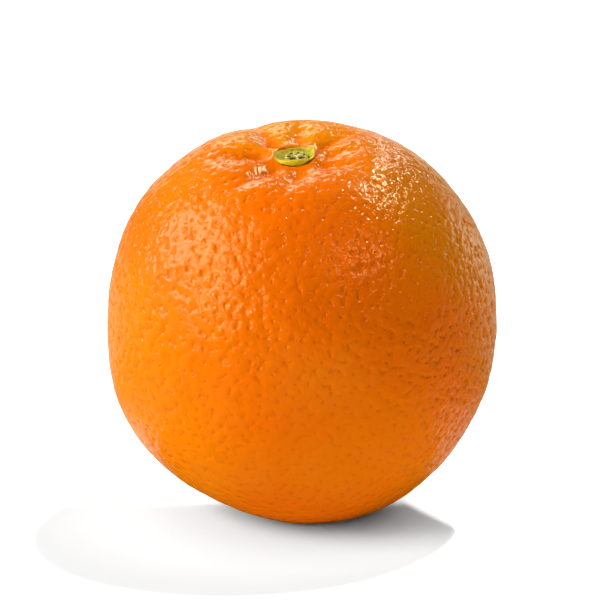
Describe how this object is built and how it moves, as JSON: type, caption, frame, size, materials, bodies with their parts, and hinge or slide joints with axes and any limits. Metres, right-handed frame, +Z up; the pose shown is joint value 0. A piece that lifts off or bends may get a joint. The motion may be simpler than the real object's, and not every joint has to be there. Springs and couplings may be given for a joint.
{
  "type": "whole orange",
  "caption": "Whole ripe orange with pitted peel, a puckered stem basin and its dry calyx and broken stem end, resting on a small flat spot.",
  "frame": {"origin": "on the flat spot that the fruit rests on, straight under the middle of the fruit", "axes": "+Z up, front towards -Y; the stem end leans towards -Y"},
  "size_m": [0.078, 0.079, 0.0792],
  "materials": {
    "peel": "glossy, finely pitted orange peel",
    "calyx_green": "dry yellow-green sepals",
    "stem_wood": "dry broken stem with dark vessel pits"
  },
  "bodies": {
    "root": {"fruit": "peel", "calyx": "calyx_green", "stem_end": "stem_wood"}
  },
  "joints": []
}
